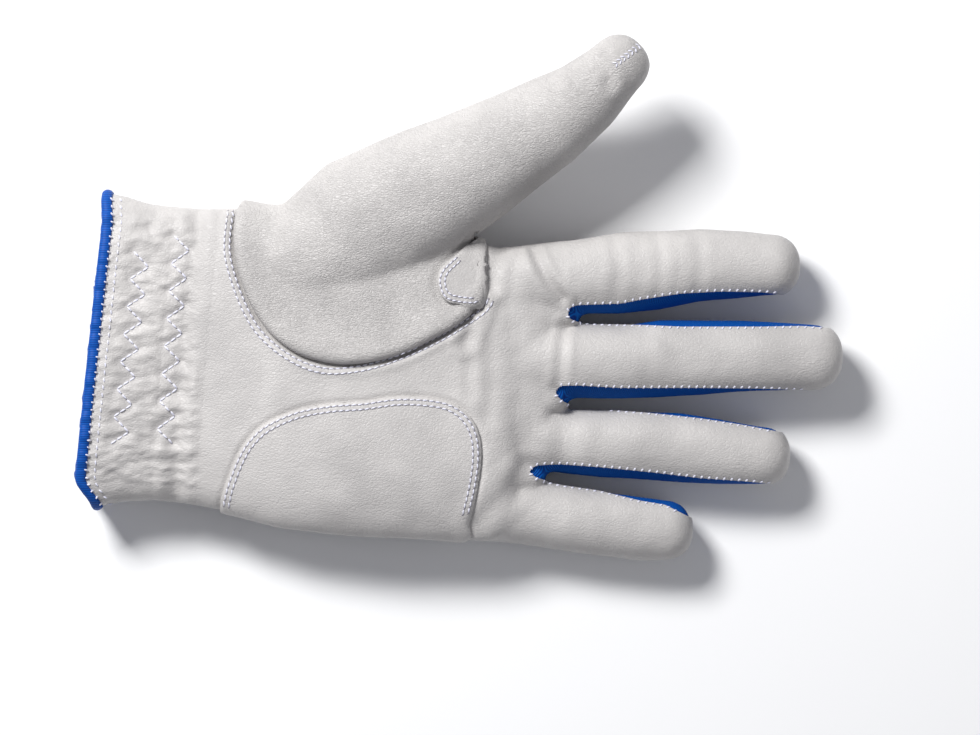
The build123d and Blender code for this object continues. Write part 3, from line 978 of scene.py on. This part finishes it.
def drop(surface, x, y, from_below=False):
    """The outside point and normal over or under a point in plan."""
    if from_below:
        place, normal, _, _ = surface.ray_cast(Vector((x, y, -30)), Vector((0, 0, 1)))
        facing = Vector((0, 0, -1))
    else:
        place, normal, _, _ = surface.ray_cast(Vector((x, y, 80)), Vector((0, 0, -1)))
        facing = Vector((0, 0, 1))
    if place is None:
        return None, None
    return place, normal if normal.dot(facing) > 0 else -normal


def add_stitch(bm, place, normal, along, size, raise_by):
    """One rounded stitch lying on the surface; size is length, width and height."""
    forward = (along - normal * along.dot(normal)).normalized()
    side = normal.cross(forward)
    turn = Matrix((forward, side, normal)).transposed().to_4x4()
    shape = Matrix.Diagonal((size[0] / 2, size[1] / 2, size[2] / 2, 1))
    matrix = Matrix.Translation(place + normal * raise_by) @ turn @ shape
    bmesh.ops.create_uvsphere(bm, u_segments=6, v_segments=5, radius=1.0, matrix=matrix)


def parallel(points, offset, closed=False):
    """A plan line moved sideways, to its left for a positive offset."""
    line = Line(points, closed)
    return [point + Vector((-tangent.y, tangent.x)) * offset
            for point, tangent in zip(line.points, line.tangents)]


def stitch_row(bm, surface, points, pitch, size, turn=0.0, raise_by=0.12, from_below=False, wanted=None):
    """A row of stitches every pitch along a line; turn swings each one on the surface."""
    even = smooth_line([tuple(point) for point in points], pitch)
    for a, b in zip(even, even[1:]):
        middle = (a + b) / 2
        place, normal = drop(surface, middle.x, middle.y, from_below)
        if place is None or (wanted and not wanted(place)):
            continue
        direction = (b - a).normalized()
        along = Matrix.Rotation(turn, 3, "Z") @ Vector((direction.x, direction.y, 0))
        add_stitch(bm, place, normal, along, size, raise_by)


def thread_piece(name, bm, material):
    """A finished row of stitches, or None where no stitch was wanted."""
    if not bm.verts:
        bm.free()
        return None
    piece = make_piece(name, bm, material)
    return piece


# size of the dark disc of painted shade at each needle hole
NEEDLE_HOLE_SHADE = (0.62, 0.62, 0.3)
GUSSET_BITE = (1.25, 0.62, 0.5)
SEAM_INSET = 0.35


def sew_panels(surface):
    """The lockstitch rows on the palm, and a dark disc of painted shade at each needle hole."""
    rows = {
        "thumb_seam_outer": (parallel(THUMB_STITCHES, -0.75), 1.85),
        "thumb_seam_inner": (parallel(THUMB_STITCHES, 0.65), 1.85),
        "heel_seam_outer": (parallel(HEEL_EDGE[:18], -0.75), 1.8),
        "heel_seam_inner": (parallel(HEEL_EDGE[:18], -2.15), 1.8),
        "quirk_seam_outer": (parallel(QUIRK_EDGE[:7], 0.9), 1.5),
        "quirk_seam_inner": (parallel(QUIRK_EDGE[:7], 2.2), 1.5),
    }
    holes = bmesh.new()
    for name, (points, pitch) in rows.items():
        bm = bmesh.new()
        stitch_row(bm, surface, points, pitch, (pitch * 0.86, 0.46, 0.42), turn=math.radians(9))
        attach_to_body(thread_piece(name, bm, THREAD_FINISH), "root")
        # each needle hole gets a flat dark disc of painted shade
        for point in smooth_line([tuple(point) for point in points], pitch):
            place, normal = drop(surface, point.x, point.y)
            if place:
                add_stitch(holes, place, normal, Vector((1, 0, 0)), NEEDLE_HOLE_SHADE, 0.0)
    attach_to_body(thread_piece("seam_needle_holes", holes, NEEDLE_SHADE_FINISH), "root")


def sew_fingers(surface):
    """White bites over the leather's edge along both sides of every gusset, front and back."""
    for crotch, lines in SEAMS.items():
        for finger, points in zip(crotch.split("_"), lines):
            limb = LIMBS[finger]
            for segment in (0, 1, 2):
                def wanted(place):
                    return limb.segment(place) == segment
                bm = bmesh.new()
                inward = SEAM_INSET if finger == crotch.split("_")[0] else -SEAM_INSET
                for from_below in (False, True):
                    stitch_row(bm, surface, parallel(points, inward), 2.1, GUSSET_BITE,
                               turn=math.radians(68), raise_by=0.1, from_below=from_below, wanted=wanted)
                piece = thread_piece(f"{finger}_seam_{crotch}_{segment}", bm, THREAD_FINISH)
                if piece:
                    attach(piece, finger if segment else None, segment)


def cuff_line(inset, low=-58.5, high=29.0):
    """Plan points at one distance in from the cuff's raw edge."""
    points = []
    for i in range(45):
        y = low + (high - low) * i / 44
        points.append((CUFF_POINT.x + (inset + cuff_draw(y) + (y - CUFF_POINT.y) * math.sin(CUFF_SLANT))
                       / math.cos(CUFF_SLANT), y))
    return points


def sew_cuff(surface):
    """Bites over the binding's edge, and the topstitching beside it."""
    bites, top = bmesh.new(), bmesh.new()
    for from_below in (False, True):
        stitch_row(bites, surface, cuff_line(-0.1), 2.1, (1.9, 0.6, 0.6), turn=math.radians(80),
                   raise_by=0.15, from_below=from_below)
        stitch_row(top, surface, cuff_line(2.3), 2.1, (1.5, 0.5, 0.45), turn=math.radians(14),
                   raise_by=0.12, from_below=from_below)
    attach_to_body(thread_piece("cuff_edge_bites", bites, THREAD_FINISH), "root")
    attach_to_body(thread_piece("cuff_topstitching", top, THREAD_FINISH), "root")


def sew_zigzags(surface):
    """The zigzag threads that hold the wrist elastics, bright one way and sunken the other."""
    for number, row in enumerate(ZIGZAG_ROWS, start=1):
        bright, sunken = bmesh.new(), bmesh.new()
        corners = zigzag_corners(row)
        for i, (a, b) in enumerate(zip(corners, corners[1:])):
            bm, raise_by = (bright, 0.16) if i % 2 == 0 else (sunken, 0.0)
            for part in (0.17, 0.5, 0.83):
                spot = a.lerp(b, part)
                place, normal = drop(surface, spot.x, spot.y)
                if place:
                    direction = b - a
                    length = direction.length / 3 * 1.02
                    add_stitch(bm, place, normal, Vector((direction.x, direction.y, 0)),
                               (length, 0.62, 0.6), raise_by)
        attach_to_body(thread_piece(f"wrist_zigzag_bright_{number}", bright, THREAD_FINISH), "root")
        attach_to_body(thread_piece(f"wrist_zigzag_sunken_{number}", sunken, THREAD_FINISH), "root")


THUMB_END_SEAM = [(42.6, 63.6), (45.5, 65.8), (48.4, 68.2), (50.6, 70.2)]


def sew_thumb_tip(surface):
    """The short arrowhead seam that closes the end of the thumb."""
    bm = bmesh.new()
    for spread in (-35, 35):
        offset = 0.45 if spread > 0 else -0.45
        stitch_row(bm, surface, parallel(THUMB_END_SEAM, offset), 1.35, (1.5, 0.42, 0.4),
                   turn=math.radians(-spread), raise_by=0.08)
    attach(thread_piece("thumb_end_seam", bm, THREAD_FINISH), "thumb", 2)


# ---- the back of the hand: opening, closure tab, hook and loop, label, elastics ----
TAB_X = -76.0
TAB_HINGE_Y = 9.0
TAB_END_Y = -31.0
TAB_WIDTHS = (36.0, 25.0)
TAB_Z = (0.0, 1.1)
TAB_STITCH = (1.6, 0.45, 0.36)
DOWN = Vector((0, 0, -1))


def plate(name, outline, low, high, material, slot, edge, body="root", node=None):
    """A flat sewn part cut to an outline, with soft edges, in the place of a node."""
    bm = bmesh.new()
    face = bm.faces.new([bm.verts.new((x, y, low)) for x, y in outline])
    bmesh.ops.translate(bm, verts=extrude_sheet(bm, [face]), vec=(0, 0, high - low))
    bmesh.ops.recalc_face_normals(bm, faces=bm.faces)
    rims = [bm_edge for bm_edge in bm.edges if abs(bm_edge.verts[0].co.z - bm_edge.verts[1].co.z) < 0.01]
    bmesh.ops.bevel(bm, geom=rims, offset=edge, affect="EDGES", segments=3, profile=0.5, material=-1)
    piece = make_piece(name, bm, material)
    for polygon in piece.data.polygons:
        polygon.use_smooth = len(polygon.vertices) == 4 and polygon.area < 4e-6
    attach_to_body(piece, body)
    if node:
        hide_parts(node)


def tab_outline(inset=0.0, end_radius=6.0):
    """The closure tab in plan: wide at its hinge, rounded at its free end."""
    wide, narrow = (width / 2 - inset for width in TAB_WIDTHS)
    top, end = TAB_HINGE_Y - 2.0, TAB_END_Y + inset
    points = [(TAB_X + wide, top), (TAB_X - wide, top)]
    for step in range(7):
        angle = math.pi + math.pi / 2 * step / 6
        points.append((TAB_X - narrow + end_radius * (1 + math.cos(angle)),
                       end + end_radius * (1 + math.sin(angle))))
    for step in range(7):
        angle = 1.5 * math.pi + math.pi / 2 * step / 6
        points.append((TAB_X + narrow - end_radius * (1 - math.cos(angle)),
                       end + end_radius * (1 + math.sin(angle))))
    return points


def box_outline(x0, y0, x1, y1, radius):
    """A rectangle with round corners."""
    points = []
    for cx, cy, turn in ((x1 - radius, y1 - radius, 0), (x0 + radius, y1 - radius, 90),
                         (x0 + radius, y0 + radius, 180), (x1 - radius, y0 + radius, 270)):
        for step in range(4):
            angle = math.radians(turn + 30 * step)
            points.append((cx + radius * math.cos(angle), cy + radius * math.sin(angle)))
    return points


def node_outline(node, radius=1.5):
    """A node's box in plan, in pattern millimetres, with its lowest and highest z."""
    low, high = map(to_pattern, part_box(node))
    return box_outline(low.x, low.y, high.x, high.y, radius), low.z, high.z


def flex_strip():
    """The leather strip between the anchor and the tab."""
    bm = bmesh.new()
    bmesh.ops.create_grid(bm, x_segments=8, y_segments=16, size=0.5)
    top, bottom = TAB_HINGE_Y + 4.0, TAB_HINGE_Y - 4.0
    for vert in bm.verts:
        part = vert.co.y + 0.5
        y = bottom + (top - bottom) * part
        vert.co = (TAB_X + vert.co.x * (TAB_WIDTHS[0] - 0.8), y, 0.65 + 1.0 * smoothstep(0.25, 0.9, part))
    bmesh.ops.translate(bm, verts=extrude_sheet(bm), vec=(0, 0, 0.7))
    bmesh.ops.recalc_face_normals(bm, faces=bm.faces)
    piece = make_piece("tab_flex_leather", bm, LEATHER_FINISH)
    start, end = (to_frame(Vector((TAB_X, y, 1.5))) for y in (TAB_HINGE_Y + 2.0, TAB_HINGE_Y - 2.5))
    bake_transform(piece)
    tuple(start)
    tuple(end)


def build_back(surface):
    """Everything sewn on the back and inside the wrist."""
    low, high = TAB_Z
    plate("closure_tab_leather", tab_outline(), low, high, LEATHER_FINISH, "leather", 0.4,
          "closure_tab", "closure_tab")
    plate("closure_tab_pad", tab_outline(3.6, 4.0), low + 0.75, high + 0.25, LEATHER_FINISH, "leather", 0.25,
          "closure_tab")
    flex_strip()
    plate("hook_patch_tape", *node_outline("hook_patch"), HOOK_FINISH, "hook_loop", 0.2,
          "closure_tab", "hook_patch")
    for node, ending, radius, finish, slot, edge in (
            ("loop_patch", "tape", 1.5, LOOP_FINISH, "hook_loop", 0.2),
            ("tab_anchor", "leather", 2.0, LEATHER_FINISH, "leather", 0.4),
            ("size_label", "cloth", 0.8, LABEL_FINISH, "label", 0.12)):
        plate(f"{node}_{ending}", *node_outline(node, radius), finish, slot, edge, node=node)
    for node in ("wrist_elastic_cuff_side", "wrist_elastic_palm_side"):
        low, high = map(to_pattern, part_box(node))
        tape = elastic_tape(node + "_tape", (low + high) / 2, high.z - low.z, surface)
        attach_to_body(tape, "root")
        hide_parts(node)
    tab_seams()


ELASTIC_SIZE = (6.0, 56.0)


def elastic_tape(name, centre, thickness, surface):
    """A woven elastic tape, rippled where the zigzag gathers it."""
    bm = bmesh.new()
    bmesh.ops.create_grid(bm, x_segments=8, y_segments=112, size=0.5)
    for vert in bm.verts:
        across, along = vert.co.x * ELASTIC_SIZE[0], vert.co.y * ELASTIC_SIZE[1]
        wave = 0.14 * math.sin(along * math.pi / ZIGZAG_PITCH * 4)
        spot = Matrix.Rotation(-CUFF_SLANT, 3, "Z") @ Vector((across, along, 0)) + centre
        place, _ = drop(surface, spot.x, spot.y)
        vert.co = (across, along, place.z - LEATHER - thickness - 0.25 + wave)
    bmesh.ops.translate(bm, verts=extrude_sheet(bm), vec=(0, 0, thickness - 0.3))
    bmesh.ops.recalc_face_normals(bm, faces=bm.faces)
    place = Matrix.Translation((centre.x, centre.y, 0)) @ Matrix.Rotation(-CUFF_SLANT, 4, "Z")
    bmesh.ops.transform(bm, matrix=place, verts=bm.verts)
    piece = make_piece(name, bm, ELASTIC_FINISH)
    return piece


def tab_seams():
    """Lockstitch round the tab and along its anchor, on the outside of the back."""
    tab = bmesh.new()
    outline = tab_outline(1.7, 5.0)
    even = smooth_line(outline[1:] + outline[:1], 2.0)
    for a, b in zip(even, even[1:]):
        middle = (a + b) / 2
        direction = Vector((b.x - a.x, b.y - a.y, 0))
        add_stitch(tab, Vector((middle.x, middle.y, TAB_Z[0])), DOWN, direction, TAB_STITCH, 0.0)
    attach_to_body(thread_piece("closure_tab_stitching", tab, THREAD_FINISH), "closure_tab")
    anchor = bmesh.new()
    low, high = map(to_pattern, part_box("tab_anchor"))
    for y in (low.y + 1.4, high.y - 1.4):
        x = low.x + 1.6
        while x < high.x - 1.6:
            add_stitch(anchor, Vector((x, y, low.z)), DOWN, Vector((1, 0.05, 0)), TAB_STITCH, 0.0)
            x += 2.0
    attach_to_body(thread_piece("tab_anchor_stitching", anchor, THREAD_FINISH), "root")


def slit_tape():
    """The blue binding round the opening in the back, as a roll that follows the cut edge."""
    sections = []
    start_x = CUFF_POINT.x + 1.0
    route = [(x, SLIT_Y + SLIT_HALF_WIDTH) for x in (start_x, -76, SLIT_END_X)]
    for step in range(1, 8):
        angle = math.pi / 2 - math.pi * step / 8
        route.append((SLIT_END_X + SLIT_HALF_WIDTH * math.cos(angle),
                      SLIT_Y + SLIT_HALF_WIDTH * math.sin(angle)))
    route += [(x, SLIT_Y - SLIT_HALF_WIDTH) for x in (SLIT_END_X, -76, start_x)]
    points = smooth_line(route, 1.2)
    low, high = map(to_pattern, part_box("slit_binding"))
    height = (low.z + high.z) / 2
    for before, point, after in zip([points[0]] + points, points, points[1:] + [points[-1]]):
        heading = math.atan2(after.y - before.y, after.x - before.x)
        sections.append(section_matrix((point.x, point.y, height), heading, 0, 1.1, (high.z - low.z) / 2))
    bm = bmesh.new()
    loft(bm, sections, 12, 2.6)
    bmesh.ops.recalc_face_normals(bm, faces=bm.faces)
    piece = make_piece("slit_binding_roll", bm, BINDING_FINISH)
    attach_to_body(piece, "root")
    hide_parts("slit_binding")


# ---- the glove ----
skin = shape_of_hand()
refine(skin, wants_detail)
shape_skin(skin)
cut_panels(skin)
pieces = build_panels(skin)
skin.free()
outside = surface_of(pieces.values())
sew_panels(outside)
sew_fingers(outside)
sew_cuff(outside)
sew_zigzags(outside)
sew_thumb_tip(outside)
build_back(outside)
slit_tape()

STANDS_FOR = {
    ("front", None, 0): ["palm_panel"],
    ("back", None, 0): ["back_panel"],
    ("thumb", None, 0): ["thumb_panel"],
    ("binding", None, 0): ["cuff_binding"],
    "heel": ["heel_patch"],
    "quirk": ["thumb_quirk"],
    ("thumb", "thumb", 1): ["thumb_lower_front", "thumb_root_crease", "thumb_mid_crease"],
    ("back", "thumb", 1): ["thumb_lower_back"],
    ("thumb", "thumb", 2): ["thumb_tip_front"],
    ("back", "thumb", 2): ["thumb_tip_back"],
}
for crotch in SEAMS:
    STANDS_FOR[("crotch_" + crotch, None, 0)] = ["crotch_gusset_" + crotch]
for finger in ("index", "middle", "ring", "little"):
    wrapped = finger in ("index", "little")     # front and back are one leather here
    for segment in (1, 2):
        part = finger + SEGMENT_NAMES[segment]
        creases = [finger + "_root_crease", finger + "_mid_crease"] if segment == 1 else []
        STANDS_FOR[("front", finger, segment)] = [part + ("_leather" if wrapped else "_front")] + creases
        STANDS_FOR[("gusset", finger, segment)] = [part + ("_gusset" if wrapped else "_gussets")]
        if not wrapped:
            STANDS_FOR[("back", finger, segment)] = [part + "_back"]
for key, nodes in STANDS_FOR.items():
    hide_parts(*nodes)


# ---- stage, light and camera ----
FLOOR_SIZE = 3.0
FLOOR_DROP = -0.0004
VIEW_CENTRE = Vector((8.5, -19.5, 0)) + PATTERN_SHIFT
VIEW_WIDTH = 274.4      # mm across the picture, at the glove
CAMERA_HEIGHT = 1.5
GLOVE_LEVEL = 0.012     # height at which the picture has its stated width
LENS_SENSOR = 36.0


def add_light(name, place, power, size):
    """A square lamp that faces the glove's origin."""
    light = bpy.data.lights.new(name, "AREA")
    light.energy = power
    light.size = size
    lamp = add_object(name, light)
    lamp.location = place
    lamp.rotation_euler = (-Vector(place)).to_track_quat("-Z", "Y").to_euler()


def set_stage():
    floor = bmesh.new()
    bmesh.ops.create_grid(floor, x_segments=1, y_segments=1, size=FLOOR_SIZE / 2)
    mesh = bpy.data.meshes.new("floor")
    bmesh.ops.translate(floor, verts=floor.verts, vec=(0, 0, FLOOR_DROP))
    floor.to_mesh(mesh)
    floor.free()
    material = bpy.data.materials.new("pale_floor")
    material.use_nodes = True
    shader = material.node_tree.nodes["Principled BSDF"]
    shader.inputs["Base Color"].default_value = (0.9, 0.9, 0.9, 1)
    shader.inputs["Roughness"].default_value = 0.9
    mesh.materials.append(material)
    add_object("floor", mesh)
    world = bpy.data.worlds.new("studio")
    bpy.context.scene.world = world
    world.use_nodes = True
    sky = world.node_tree.nodes["Background"]
    sky.inputs["Color"].default_value = (0.88, 0.90, 1.0, 1)
    sky.inputs["Strength"].default_value = 0.24
    add_light("key", (-0.42, 0.52, 0.72), 13.2, 0.3)
    add_light("fill", (0.7, -0.3, 0.8), 1.4, 0.8)
    bpy.context.scene.view_settings.view_transform = "Standard"


def set_camera():
    camera = bpy.data.cameras.new("camera")
    camera.sensor_width = LENS_SENSOR
    camera.lens = LENS_SENSOR * (CAMERA_HEIGHT - GLOVE_LEVEL) / (VIEW_WIDTH * MM)
    holder = add_object("camera", camera)
    holder.location = (VIEW_CENTRE.x * MM, VIEW_CENTRE.y * MM, CAMERA_HEIGHT)
    bpy.context.scene.camera = holder


set_stage()
set_camera()
